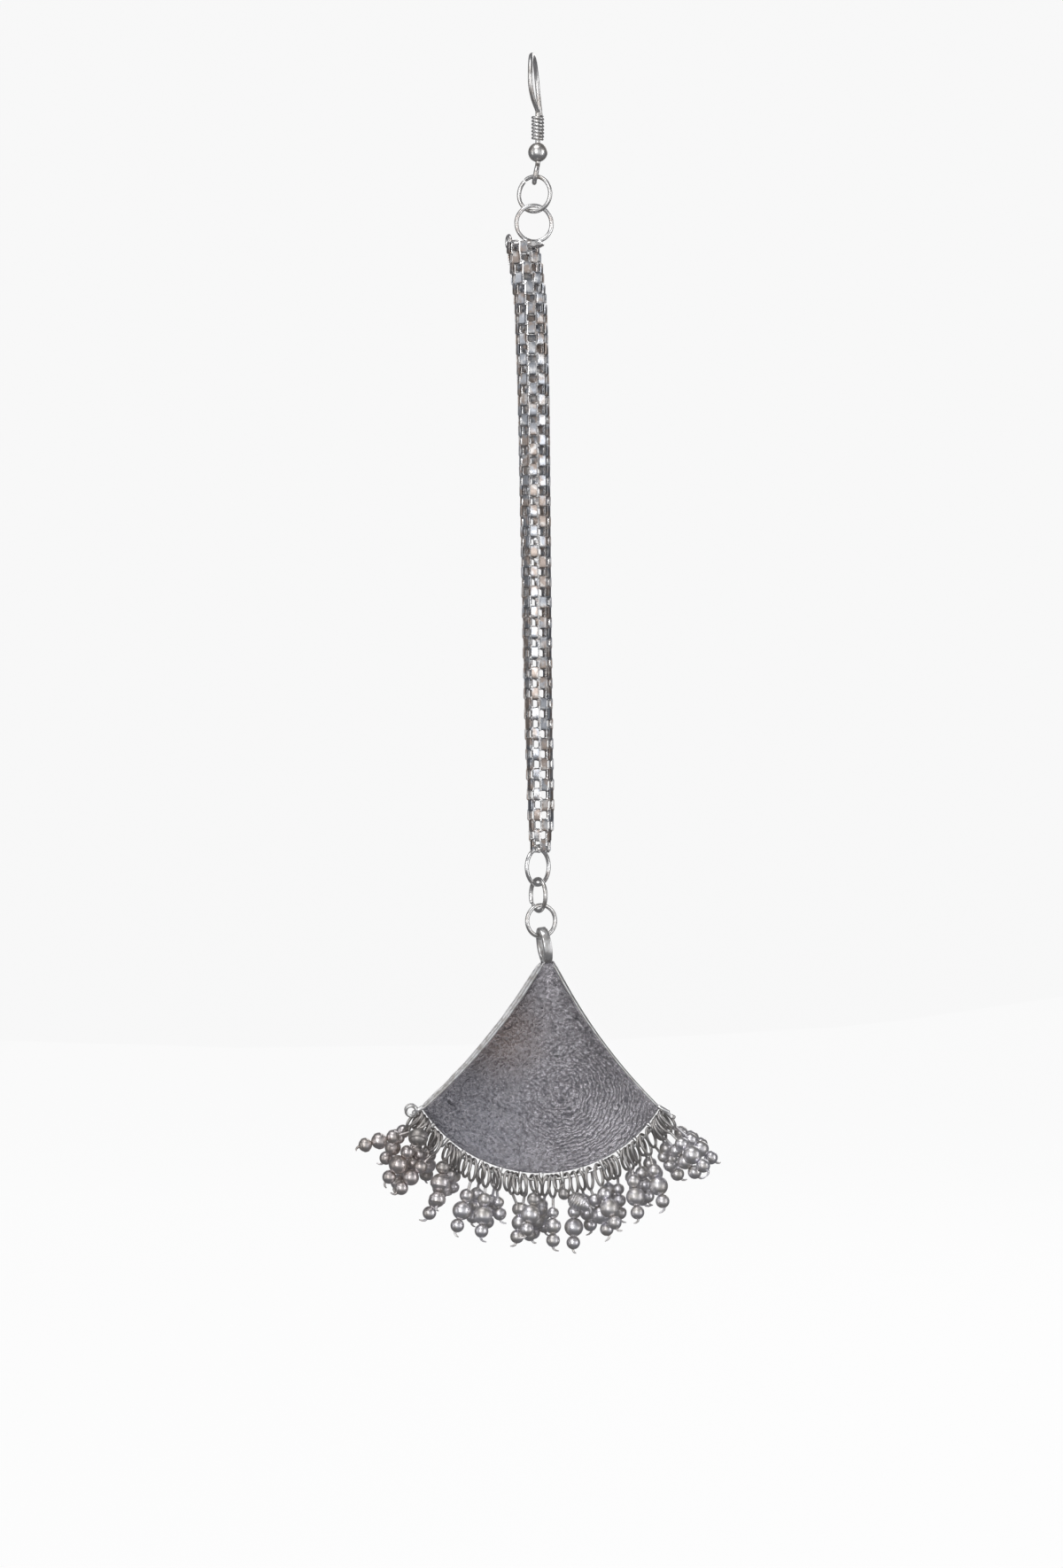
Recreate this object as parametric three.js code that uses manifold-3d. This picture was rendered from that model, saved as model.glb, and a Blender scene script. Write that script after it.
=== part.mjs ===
// Maang tikka: an ear hook, a tubular mesh chain and a fan pendant with bead drops.
// Millimetres, +Z up, -Y towards the wearer's front. The origin is the inside top of the hook.
import * as THREE from "three";
import { mergeVertices } from "three/addons/utils/BufferGeometryUtils.js";
import Module from "manifold-3d";

const wasm = await Module();
wasm.setup();

// Wires and clearances
const HOOK_WIRE = 0.7;
const COIL_WIRE = 0.46;
const LINK_WIRE = 0.65;
const RIM_WIRE = 0.45;
const DROP_WIRE = 0.4;
const STEM_WIRE = 0.44;
const LINK_GAP = 0.25;
const COIL_GAP = 0.18;
const WIRE_SIDES = 6;
const FINE_WIRE_SIDES = 5;

// Ear hook: the wire's middle line, from the free end over the bend down to the coil
const HOOK_ROUTE = [
  { x: 1.2, y: 4.6, z: -10.2 },
  { x: 1.05, y: 3.85, z: -7.8 },
  { x: 0.8, y: 3.9, z: -5.4 },
  { x: 0.55, y: 3.75, z: -2.7 },
  { x: 0.25, y: 2.3, z: -0.4 },
  { x: -0.14, y: 0, z: HOOK_WIRE / 2 },
  { x: -0.5, y: -2.5, z: -0.5 },
  { x: -0.78, y: -3.95, z: -2.9 },
  { x: -0.66, y: -3.9, z: -5.0 },
  { x: -0.1, y: -3.1, z: -6.9 },
  { x: 0.62, y: -1.8, z: -8.4 },
];
const HOOK_STEPS = 52;
const HANG_Y = -1.5;
const COIL_X = 0.7;
const COIL_TOP = -9.0;
const COIL_TURNS = 8;
const COIL_PITCH = 0.53;
const BALL_DIAMETER = 3.0;
const LOOP_RADIUS = 1.25;
const LOOP_DROP = 0.5;
const LOOP_LEAN = 0.55;

// Jump rings, each at its middle line, turned about the vertical
const TOP_RING = { radius: 2.7, turn: -26, cut: 128, x: 0.2 };
const CHAIN_TOP_RING = { radius: 2.78, turn: 12, x: 0.12 };
const CHAIN_END_RING = { radius: 2.75, turn: 52, x: 0.7 };
const SMALL_LINK = { radius: 2.48, turn: -64, cut: 214, x: 0.78 };
const LOWER_RING = { radius: 2.43, turn: 27, x: 1.22 };
const RING_CUT = 5;
const RING_STEP = 0.16;
const RING_SEGMENTS = 18;

// Mesh chain: the middle line and outer radius of the woven tube, as shares of its length
const CHAIN_LENGTH = 93.8;
const CHAIN_RADIUS = 2.55;
const CHAIN_WALL = 0.55;
const CHAIN_SIDES = 10;
const CHAIN_ROWS = 12;
const GAPS_PER_ROW = 5;
const GAP_WIDTH = 0.84;
const GAP_SHARE = 0.62;
const CHAIN_ROUTE = [
  { share: 0, x: -1.75, width: 0.98 },
  { share: 0.04, x: -1.1, width: 1 },
  { share: 0.1, x: -0.4, width: 0.98 },
  { share: 0.25, x: 0.05, width: 0.955 },
  { share: 0.5, x: 0.4, width: 0.91 },
  { share: 0.75, x: 0.75, width: 0.87 },
  { share: 0.95, x: 1.2, width: 0.82 },
  { share: 1, x: 1.05, width: 0.62 },
];
const TOP_SOLDER = { x: 1.15, lift: 0.35, wide: 2.2, deep: 1.3, tall: 0.75 };
const END_SOLDER = { x: -0.15, lift: 0.1, wide: 1.6, deep: 1.25, tall: 0.65 };
const RAISED_LINK = { x: -2.05, lift: 0.15, radius: 0.95, wire: 0.6, turn: -70 };

// Bail: an upright oval band on the fan's apex
const BAIL_WIDTH = 1.3;
const BAIL_THICKNESS = 0.85;
const BAIL_HEIGHT = 5.8;
const BAIL_DEPTH = 4.5;
const BAIL_TURN = 15;
const BAIL_LEAN = 9;
const BAIL_GAP = 0.33;
const BAIL_X = 1.7;

// Fan plate: its apex, its bottom arc, and how far its sides curl forwards
const SHEET = 0.9;
const APEX_X = 2.3;
const APEX_HALF_WIDTH = 0.55;
const APEX_SINK = 0.45;
const ARC_RADIUS = 20.9;
const ARC_HALF_ANGLE = 60;
const ARC_X = 1.23;
const ARC_DROP = 12.0;
const SIDE_HOLLOW = 1.15;
const LEFT_CURL = 5.2;
const RIGHT_CURL = 2.8;
const CURL_POWER = 0.72;
const BOTTOM_LIP = 1.0;
const PLATE_LEAN = 0.07;
const PLATE_COLUMNS = 12;
const PLATE_ROWS = 8;

// Rim under the fan: posts that carry a wire, and the slots that the drops hang in
const SLOTS = 14;
const SLOT_HEIGHT = 0.75;
const POST_WIRE = 0.72;
const POST_REACH = 1.75;
const POST_SINK = 0.35;
const RIM_STEPS = 26;

// Drops: a ring in a slot, then beads on a stem. Angles in degrees from straight down, hang
// for the ring and lean for the beads, positive to the right; back tips them away from the
// front. The link is the ring with the bare stem below it, in millimetres.
const BEAD = { tiny: 0.86, small: 1.02, medium: 1.2, large: 1.41 };
const BEAD_SIDES = 10;
const TIP_LENGTH = 0.7;
const DROP_RING_LENGTH = 3.4;
const DROP_RING_WIDTH = 1.85;
const DROP_RING_SEGMENTS = 10;
const CONE = { length: 3.7, radius: 1.38 };
const DROPS = [
  { slot: 0, seat: 0.24, hang: -50, link: 5.1, lean: -34, back: 28, beads: "tiny medium small" },
  { slot: 0, seat: 0.43, hang: -42, link: 4.8, lean: -74, back: -8, beads: "small medium small" },
  { slot: 0, seat: 0.6, hang: -34, link: 2.3, lean: -12, back: -46, beads: "large" },
  { slot: 0, seat: 0.81, hang: -34, link: 4.6, lean: -36, back: 8, beads: "small large small" },
  { slot: 1, seat: 0.3, hang: -28, link: 4.0, lean: -36, back: 24, beads: "tiny small small medium" },
  { slot: 1, seat: 0.7, hang: -26, link: 4.6, lean: -42, back: 0, beads: "small medium small" },
  { slot: 2, seat: 0.3, hang: -20, link: 2.7, lean: -10, back: -16, beads: "small large medium" },
  { slot: 2, seat: 0.7, hang: -12, link: 3.1, lean: -26, back: 10, beads: "small large small small" },
  { slot: 3, seat: 0.7, hang: -8, link: 4.5, lean: -17, back: 0, beads: "small large small" },
  { slot: 4, seat: 0.35, hang: -2, link: 4.1, lean: -5, back: -4, beads: "small large small" },
  { slot: 4, seat: 0.72, hang: 3, link: 4.6, lean: -10, back: 24, beads: "tiny small small" },
  { slot: 5, seat: 0.6, hang: 3, link: 4.8, lean: 22, back: 12, beads: "small medium small" },
  { slot: 6, seat: 0.6, hang: 14, link: 2.6, lean: -12, back: -18, beads: "small large small" },
  { slot: 7, seat: 0.25, hang: -4, link: 4.6, lean: -16, back: 24, beads: "small medium small" },
  { slot: 7, seat: 0.5, hang: 4, link: 4.7, lean: 0, back: 0, beads: "tiny medium small" },
  { slot: 7, seat: 0.75, hang: 4, link: 2.6, lean: 60, back: -26, beads: "tiny cone" },
  { slot: 8, seat: 0.55, hang: 4, link: 5.0, lean: -2, back: 6, beads: "small large small" },
  { slot: 9, seat: 0.28, hang: 6, link: 4.0, lean: 22, back: 4, beads: "small large small" },
  { slot: 9, seat: 0.74, hang: 10, link: 3.6, lean: 20, back: -20, beads: "small large small" },
  { slot: 10, seat: 0.6, hang: 12, link: 4.4, lean: 4, back: 16, beads: "tiny small small" },
  { slot: 11, seat: 0.28, hang: 19, link: 4.0, lean: 7, back: -8, beads: "small large small" },
  { slot: 11, seat: 0.72, hang: 20, link: 4.1, lean: 14, back: 20, beads: "small small small" },
  { slot: 12, seat: 0.3, hang: 24, link: 4.7, lean: 15, back: -4, beads: "small large small" },
  { slot: 12, seat: 0.7, hang: 24, link: 4.6, lean: 37, back: 24, beads: "tiny small small" },
  { slot: 13, seat: 0.24, hang: 32, link: 4.6, lean: 41, back: 2, beads: "small medium small" },
  { slot: 13, seat: 0.5, hang: 40, link: 4.7, lean: 45, back: -20, beads: "small large small" },
  { slot: 13, seat: 0.76, hang: 47, link: 5.6, lean: 48, back: 16, beads: "small medium small" },
];

const SILVER = new THREE.MeshStandardMaterial({ color: 0xc9c4c2, metalness: 1, roughness: 0.28 });
const MESH_SILVER = new THREE.MeshStandardMaterial({ color: 0xb3acaa, metalness: 1, roughness: 0.32 });
const OXIDISED = new THREE.MeshStandardMaterial({ color: 0x77737a, metalness: 1, roughness: 0.42 });
const BEAD_SILVER = new THREE.MeshStandardMaterial({ color: 0x8d8888, metalness: 1, roughness: 0.34 });

const radians = THREE.MathUtils.degToRad;

// A spiral about the Z axis: a coil, or a cut jump ring whose ends miss each other a little
class Spiral extends THREE.Curve {
  constructor(radius, start, turns, rise) {
    super();
    Object.assign(this, { radius, start, turns, rise });
    this.arcLengthDivisions = Math.ceil(60 * turns);
  }
  getPoint(t) {
    const angle = this.start + t * this.turns * 2 * Math.PI;
    return new THREE.Vector3(
      this.radius * Math.cos(angle),
      this.radius * Math.sin(angle),
      (t - 0.5) * this.rise,
    );
  }
}

function solidOf(geometry) {
  const bare = geometry.clone();
  bare.deleteAttribute("normal");
  bare.deleteAttribute("uv");
  const merged = mergeVertices(bare, 1e-4);
  return new wasm.Manifold(
    new wasm.Mesh({
      numProp: 3,
      vertProperties: new Float32Array(merged.attributes.position.array),
      triVerts: new Uint32Array(merged.index.array),
    }),
  );
}

function geometryOf(solid) {
  const mesh = solid.getMesh();
  const geometry = new THREE.BufferGeometry();
  geometry.setAttribute("position", new THREE.BufferAttribute(mesh.vertProperties, 3));
  geometry.setIndex(new THREE.BufferAttribute(mesh.triVerts, 1));
  return geometry;
}

function fuse(geometries) {
  return geometryOf(geometries.map(solidOf).reduce((whole, piece) => whole.add(piece)));
}

// A round wire along a curve, closed at both ends
function wire(curve, diameter, steps, sides) {
  const section = new THREE.Shape();
  for (let i = 0; i < sides; i++) {
    const angle = (i / sides) * 2 * Math.PI;
    const x = (diameter / 2) * Math.cos(angle);
    const y = (diameter / 2) * Math.sin(angle);
    if (i === 0) section.moveTo(x, y);
    else section.lineTo(x, y);
  }
  return new THREE.ExtrudeGeometry(section, { steps, extrudePath: curve, curveSegments: 1 });
}

// A solid turned about the Z axis through points of radius and height
function turned(profile, sides) {
  const points = profile.map(([radius, height]) => new THREE.Vector2(radius, height));
  return new THREE.LatheGeometry(points, sides).rotateX(Math.PI / 2);
}

function closedRing(radius, diameter, segments = RING_SEGMENTS, sides = WIRE_SIDES) {
  return new THREE.TorusGeometry(radius, diameter / 2, sides, segments).rotateX(Math.PI / 2);
}

// A jump ring cut at the given angle, standing upright
function cutRing({ radius, cut }) {
  const turns = 1 - RING_CUT / 360;
  const spiral = new Spiral(radius, radians(cut + RING_CUT / 2), turns, RING_STEP);
  return wire(spiral, LINK_WIRE, RING_SEGMENTS + 2, WIRE_SIDES).rotateX(Math.PI / 2);
}

function place(geometry, name, material, x = 0, y = 0, z = 0) {
  const mesh = new THREE.Mesh(geometry, material);
  mesh.name = name;
  mesh.position.set(x, y, z);
  return mesh;
}

// Heights down the string of links, each hanging in the one above
const stemBottom = COIL_TOP - COIL_TURNS * COIL_PITCH - 2 * COIL_GAP - BALL_DIAMETER;
const loopZ = stemBottom - LOOP_DROP - LOOP_RADIUS;
const linkStep = LINK_WIRE + LINK_GAP;
const topRingZ = loopZ - LOOP_RADIUS + (HOOK_WIRE + LINK_WIRE) / 2 + LINK_GAP - TOP_RING.radius;
const chainTopRingZ = topRingZ - TOP_RING.radius + linkStep - CHAIN_TOP_RING.radius;
const chainTop = chainTopRingZ - CHAIN_TOP_RING.radius - LINK_WIRE / 4;
const chainBottom = chainTop - CHAIN_LENGTH;
const chainEndRingZ = chainBottom - CHAIN_END_RING.radius;
const smallLinkZ = chainEndRingZ - CHAIN_END_RING.radius + linkStep - SMALL_LINK.radius;
const lowerRingZ = smallLinkZ - SMALL_LINK.radius + linkStep - LOWER_RING.radius;
const lowerRingWireZ = lowerRingZ - LOWER_RING.radius;
const bailZ = lowerRingWireZ + LINK_WIRE / 2 + BAIL_GAP + BAIL_THICKNESS - BAIL_HEIGHT / 2;
const apexZ = bailZ - BAIL_HEIGHT / 2 + APEX_SINK;
const arcZ = apexZ - ARC_DROP;

// Ear hook: one wire, over the bend, down through the coil and ball, ending in a loop
function earHook() {
  const points = HOOK_ROUTE.map(({ x, y, z }) => new THREE.Vector3(x, y, z));
  const stem = (z) => new THREE.Vector3(COIL_X, HANG_Y, z);
  points.push(stem(COIL_TOP), stem((COIL_TOP + stemBottom) / 2));
  points.push(stem(stemBottom + HOOK_WIRE), stem(stemBottom));
  for (let angle = 40; angle >= -240; angle -= 28) {
    const across = LOOP_RADIUS * Math.cos(radians(angle));
    const up = LOOP_RADIUS * Math.sin(radians(angle));
    const x = COIL_X - (LOOP_LEAN * (stemBottom - loopZ - up)) / (LOOP_DROP + 2 * LOOP_RADIUS);
    points.push(new THREE.Vector3(x, HANG_Y + across, loopZ + up));
  }
  const route = new THREE.CatmullRomCurve3(points, false, "centripetal");
  return place(wire(route, HOOK_WIRE, HOOK_STEPS, WIRE_SIDES), "ear_hook", SILVER);
}

function hookCoil() {
  const radius = HOOK_WIRE / 2 + COIL_GAP + COIL_WIRE / 2;
  const rise = -COIL_PITCH * (COIL_TURNS - 1);
  const spiral = new Spiral(radius, 0, COIL_TURNS - 1, rise);
  const coil = wire(spiral, COIL_WIRE, (COIL_TURNS - 1) * 10, FINE_WIRE_SIDES);
  const middle = COIL_TOP - (COIL_TURNS * COIL_PITCH) / 2;
  return place(coil, "hook_coil", SILVER, COIL_X, HANG_Y, middle);
}

function hookBall() {
  const bore = HOOK_WIRE / 2 + COIL_GAP;
  const radius = BALL_DIAMETER / 2;
  const rim = Math.asin(bore / radius);
  const rows = 6;
  const profile = [];
  for (let i = 0; i <= rows; i++) {
    const angle = -Math.PI / 2 + rim + (i / rows) * (Math.PI - 2 * rim);
    profile.push([radius * Math.cos(angle), radius * Math.sin(angle)]);
  }
  profile.push(profile[0]);
  const z = stemBottom + COIL_GAP + radius;
  return place(turned(profile, 12), "hook_ball", SILVER, COIL_X, HANG_Y, z);
}

function jumpRing(name, ring, z) {
  const geometry = ring.cut === undefined ? closedRing(ring.radius, LINK_WIRE) : cutRing(ring);
  const mesh = place(geometry, name, SILVER, ring.x, HANG_Y, z);
  mesh.rotation.z = radians(ring.turn);
  return mesh;
}

// The chain's middle line and outer radius at a share of its length
function chainAt(share) {
  const after = Math.max(1, CHAIN_ROUTE.findIndex((row) => row.share >= share));
  const [a, b] = [CHAIN_ROUTE[after - 1], CHAIN_ROUTE[after]];
  const part = (share - a.share) / (b.share - a.share);
  const mix = (key) => THREE.MathUtils.lerp(a[key], b[key], part);
  return { x: mix("x"), radius: CHAIN_RADIUS * mix("width") };
}

// The woven tube as a hollow sleeve, shifted sideways along its route
function chainSleeve() {
  const outer = [];
  const inner = [];
  for (let row = 0; row <= CHAIN_ROWS; row++) {
    const share = row / CHAIN_ROWS;
    const { radius } = chainAt(share);
    outer.push([radius, -share * CHAIN_LENGTH]);
    inner.unshift([radius - CHAIN_WALL, -share * CHAIN_LENGTH]);
  }
  const profile = [...outer, ...inner, outer[0]].reverse();
  const sleeve = turned(profile, CHAIN_SIDES);
  const positions = sleeve.attributes.position;
  for (let i = 0; i < positions.count; i++) {
    const share = THREE.MathUtils.clamp(-positions.getZ(i) / CHAIN_LENGTH, 0, 1);
    positions.setX(i, positions.getX(i) + chainAt(share).x);
  }
  return sleeve;
}

// A box for each gap between the links, half a step round in every second row
function chainGaps() {
  const boxes = [];
  const pitch = CHAIN_LENGTH / CHAIN_ROWS;
  const facet = (2 * Math.PI) / CHAIN_SIDES;
  for (let row = 0; row < CHAIN_ROWS; row++) {
    const share = (row + 0.5) / CHAIN_ROWS;
    const { x, radius } = chainAt(share);
    for (let k = 0; k < GAPS_PER_ROW; k++) {
      const angle = (2 * k + (row % 2) + 0.5) * facet;
      const box = new THREE.BoxGeometry(GAP_WIDTH, 2 * CHAIN_WALL + 0.6, pitch * GAP_SHARE);
      box.translate(0, radius - CHAIN_WALL, 0).rotateZ(angle);
      boxes.push(box.translate(x, 0, -share * CHAIN_LENGTH));
    }
  }
  return boxes;
}

function solderBlob({ x, lift, wide, deep, tall }, z) {
  const blob = new THREE.SphereGeometry(1, 8, 5).rotateX(Math.PI / 2);
  return blob.scale(wide, deep, tall).translate(x, 0, z + lift);
}

// The chain with a ring soldered to each end and one end link standing proud
function meshChain() {
  const gaps = chainGaps().map(solidOf);
  const sleeve = solidOf(chainSleeve()).subtract(wasm.Manifold.union(gaps));
  const topRing = closedRing(CHAIN_TOP_RING.radius, LINK_WIRE).rotateZ(radians(CHAIN_TOP_RING.turn));
  const endRing = closedRing(CHAIN_END_RING.radius, LINK_WIRE).rotateZ(radians(CHAIN_END_RING.turn));
  const raised = closedRing(RAISED_LINK.radius, RAISED_LINK.wire, 10, FINE_WIRE_SIDES);
  raised.rotateZ(radians(RAISED_LINK.turn));
  const { x: topX } = chainAt(0);
  const { x: endX } = chainAt(1);
  const pieces = [
    topRing.translate(CHAIN_TOP_RING.x, 0, chainTopRingZ - chainTop),
    endRing.translate(CHAIN_END_RING.x, 0, chainEndRingZ - chainTop),
    raised.translate(topX + RAISED_LINK.x, 0, RAISED_LINK.lift),
    solderBlob({ ...TOP_SOLDER, x: topX + TOP_SOLDER.x }, -TOP_SOLDER.tall),
    solderBlob({ ...END_SOLDER, x: endX + END_SOLDER.x }, -CHAIN_LENGTH),
  ];
  const whole = pieces.map(solidOf).reduce((all, piece) => all.add(piece), sleeve);
  return place(geometryOf(whole), "mesh_chain", MESH_SILVER, 0, HANG_Y, chainTop);
}

// A point on the plate's front face: across runs -1 to 1, down runs 0 at the apex to 1
function frontPoint(across, down) {
  const angle = radians(across * ARC_HALF_ANGLE);
  const top = new THREE.Vector2(APEX_X + across * APEX_HALF_WIDTH, apexZ);
  const end = new THREE.Vector2(
    ARC_X + ARC_RADIUS * Math.sin(angle),
    arcZ - ARC_RADIUS * Math.cos(angle),
  );
  const ray = end.clone().sub(top);
  const inward = new THREE.Vector2(ray.y, -ray.x).normalize();
  const point = top.addScaledVector(ray, down);
  point.addScaledVector(inward, across * SIDE_HOLLOW * 4 * down * (1 - down));
  const curl = across < 0 ? LEFT_CURL : RIGHT_CURL;
  const forward = curl * across ** 2 * down ** CURL_POWER + BOTTOM_LIP * down ** 4;
  const y = HANG_Y - forward + PLATE_LEAN * (apexZ - point.y);
  return new THREE.Vector3(point.x, y, point.y);
}

// The same point carried back through the sheet, square to its face
function platePoint(across, down, through) {
  const step = 0.02;
  const low = Math.max(down, step);
  const side = frontPoint(across + step, low).sub(frontPoint(across - step, low));
  const along = frontPoint(across, low + step).sub(frontPoint(across, low - step / 2));
  const normal = side.cross(along).normalize();
  if (normal.y < 0) normal.negate();
  return frontPoint(across, down).addScaledVector(normal, through * SHEET);
}

function fanSheet() {
  const sheet = new THREE.BoxGeometry(2, 1, 1, PLATE_COLUMNS, 1, PLATE_ROWS);
  const positions = sheet.attributes.position;
  for (let i = 0; i < positions.count; i++) {
    const [across, through, down] = [positions.getX(i), positions.getY(i), positions.getZ(i)];
    const point = platePoint(across, 0.5 - down, through + 0.5);
    positions.setXYZ(i, point.x, point.y, point.z);
  }
  return sheet;
}

// A point in the rim's middle plane, at an angle of the arc and a distance outside the plate
function rimPoint(angle, out) {
  const point = platePoint(angle / ARC_HALF_ANGLE, 1, 0.5);
  point.x += out * Math.sin(radians(angle));
  point.z -= out * Math.cos(radians(angle));
  return point;
}

const slotAngle = (slot) => ARC_HALF_ANGLE * ((2 * slot) / SLOTS - 1);
const rimOut = SLOT_HEIGHT + RIM_WIRE / 2;

class RimCurve extends THREE.Curve {
  getPoint(t) {
    return rimPoint(ARC_HALF_ANGLE * (2 * t - 1), rimOut);
  }
}

function rimPosts() {
  const posts = [];
  for (let slot = 0; slot <= SLOTS; slot++) {
    const angle = slotAngle(slot);
    const from = rimPoint(angle, -POST_SINK);
    const to = rimPoint(angle, POST_REACH);
    posts.push(wire(new THREE.LineCurve3(from, to), POST_WIRE, 1, WIRE_SIDES));
  }
  return posts;
}

function bail() {
  const outline = new THREE.Shape();
  outline.absellipse(0, 0, BAIL_DEPTH / 2, BAIL_HEIGHT / 2, 0, 2 * Math.PI);
  const hole = new THREE.Path();
  const [deep, tall] = [BAIL_DEPTH / 2 - BAIL_THICKNESS, BAIL_HEIGHT / 2 - BAIL_THICKNESS];
  hole.absellipse(0, 0, deep, tall, 0, 2 * Math.PI);
  outline.holes.push(hole);
  const band = new THREE.ExtrudeGeometry(outline, {
    depth: BAIL_WIDTH,
    bevelEnabled: false,
    curveSegments: 9,
  });
  band.translate(0, 0, -BAIL_WIDTH / 2).rotateX(Math.PI / 2).rotateZ(radians(90 + BAIL_TURN));
  return band.rotateY(radians(-BAIL_LEAN)).translate(BAIL_X, HANG_Y, bailZ);
}

// The plate, its bail, the posts and the wire that they carry are soldered into one piece
function fanPlate() {
  const rim = wire(new RimCurve(), RIM_WIRE, RIM_STEPS, FINE_WIRE_SIDES);
  return place(fuse([fanSheet(), bail(), rim, ...rimPosts()]), "fan_plate", OXIDISED);
}

// Beads on their stem, from the stem's top down to its tip
function beadRun(kinds, stem) {
  const profile = [[0, 0]];
  let height = -stem;
  kinds.forEach((kind) => {
    const half = kind === "cone" ? CONE.length / 2 : BEAD[kind];
    const wide = kind === "cone" ? CONE.radius : BEAD[kind];
    profile.push([STEM_WIRE / 2, height]);
    profile.push([wide, height - half * 0.58], [wide, height - half * 1.42]);
    height -= 2 * half;
  });
  profile.push([STEM_WIRE / 2, height], [0, height - TIP_LENGTH]);
  return turned(profile.reverse(), BEAD_SIDES);
}

// The ring's top wire lies in the middle of its slot, whichever way the ring leans
function drop(row, number) {
  const { slot, seat, hang, link, lean, back } = row;
  const kinds = row.beads.split(" ");
  const angle = slotAngle(slot + seat);
  const top = (SLOT_HEIGHT / 2 + RIM_WIRE / 2) / Math.cos(radians(hang - angle));
  const stem = Math.max(link - DROP_RING_LENGTH, 0);
  const length = link - stem;
  const ring = closedRing(1, DROP_WIRE, DROP_RING_SEGMENTS, FINE_WIRE_SIDES);
  const positions = ring.attributes.position;
  const [halfWide, halfTall] = [DROP_RING_WIDTH / 2, length / 2];
  for (let i = 0; i < positions.count; i++) {
    const [x, y, z] = [positions.getX(i), positions.getY(i), positions.getZ(i)];
    const reach = Math.hypot(x, z);
    const out = reach - 1;
    const [wide, tall] = [(x / reach) * (halfWide + out), (z / reach) * (halfTall + out)];
    positions.setXYZ(i, -y, wide, tall - halfTall + top);
  }
  const beads = beadRun(kinds, stem + DROP_WIRE / 2).rotateY(radians(hang - lean));
  beads.translate(0, 0, top - length);
  const name = "drop_" + String(number).padStart(2, "0");
  const mesh = place(fuse([ring, beads]), name, BEAD_SILVER, ...rimPoint(angle, rimOut));
  mesh.rotation.set(radians(back), radians(-hang), 0, "YXZ");
  return mesh;
}

const tikka = new THREE.Group();
tikka.add(earHook(), hookCoil(), hookBall());
tikka.add(jumpRing("top_ring", TOP_RING, topRingZ), meshChain());
tikka.add(jumpRing("small_link", SMALL_LINK, smallLinkZ));
tikka.add(jumpRing("lower_ring", LOWER_RING, lowerRingZ));
tikka.add(fanPlate());
DROPS.forEach((row, i) => tikka.add(drop(row, i + 1)));

export default tikka;
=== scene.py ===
"""A silver maang tikka: an ear hook, a tubular mesh chain, and a fan pendant hung with bead drops."""
import math
import random

import bmesh
import bpy
from mathutils import Matrix, Vector, noise


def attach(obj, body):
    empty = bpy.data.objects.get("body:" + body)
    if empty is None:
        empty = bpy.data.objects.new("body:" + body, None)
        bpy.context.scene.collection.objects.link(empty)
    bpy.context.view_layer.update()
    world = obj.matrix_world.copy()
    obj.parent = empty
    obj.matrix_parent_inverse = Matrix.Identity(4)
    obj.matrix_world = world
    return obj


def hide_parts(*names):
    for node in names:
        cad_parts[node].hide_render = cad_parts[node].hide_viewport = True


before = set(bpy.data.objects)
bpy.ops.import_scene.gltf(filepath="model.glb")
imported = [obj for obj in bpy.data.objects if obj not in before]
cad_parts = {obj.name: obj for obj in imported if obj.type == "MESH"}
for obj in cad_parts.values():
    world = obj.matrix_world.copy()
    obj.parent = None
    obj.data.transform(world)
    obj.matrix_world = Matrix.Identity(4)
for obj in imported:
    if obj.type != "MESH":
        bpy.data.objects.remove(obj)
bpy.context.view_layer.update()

METRES = 0.001
SHARP_EDGE = math.radians(38)
RIGHT_EDGE = 1.2

# Wires and clearances, in millimetres as all the shapes below
HOOK_WIRE = 0.74
COIL_WIRE = 0.46
LINK_WIRE = 0.65
RIM_WIRE = 0.45
DROP_WIRE = 0.47
STEM_WIRE = 0.44
LINK_GAP = 0.25
COIL_GAP = 0.18

# Ear hook
HOOK_ROUTE = [
    (1.2, 4.6, -10.2),
    (1.05, 3.85, -7.8),
    (0.8, 3.9, -5.4),
    (0.55, 3.75, -2.7),
    (0.25, 2.3, -0.4),
    (-0.14, 0, HOOK_WIRE / 2),
    (-0.38, -2.5, -0.5),
    (-0.46, -3.95, -2.9),
    (-0.4, -3.9, -5.0),
    (0.0, -3.1, -6.9),
    (0.62, -1.8, -8.4),
]
HANG_Y = -1.5
COIL_X = 0.7
COIL_TOP = -9.0
COIL_TURNS = 8
COIL_PITCH = 0.53
BALL_DIAMETER = 3.0
LOOP_RADIUS = 1.25
LOOP_DROP = 0.5
LOOP_LEAN = 0.55

# Jump rings: middle-line radius, turn about the vertical, where the ring is cut, and its place
TOP_RING = {"radius": 2.7, "turn": -26, "cut": 128, "x": 0.2}
CHAIN_TOP_RING = {"radius": 2.78, "turn": 12, "x": 0.12}
CHAIN_END_RING = {"radius": 2.75, "turn": 52, "x": 0.7}
SMALL_LINK = {"radius": 2.48, "turn": -64, "cut": 214, "x": 0.78}
LOWER_RING = {"radius": 2.43, "turn": 27, "x": 1.22}
RING_CUT = 5
RING_STEP = 0.16

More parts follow.
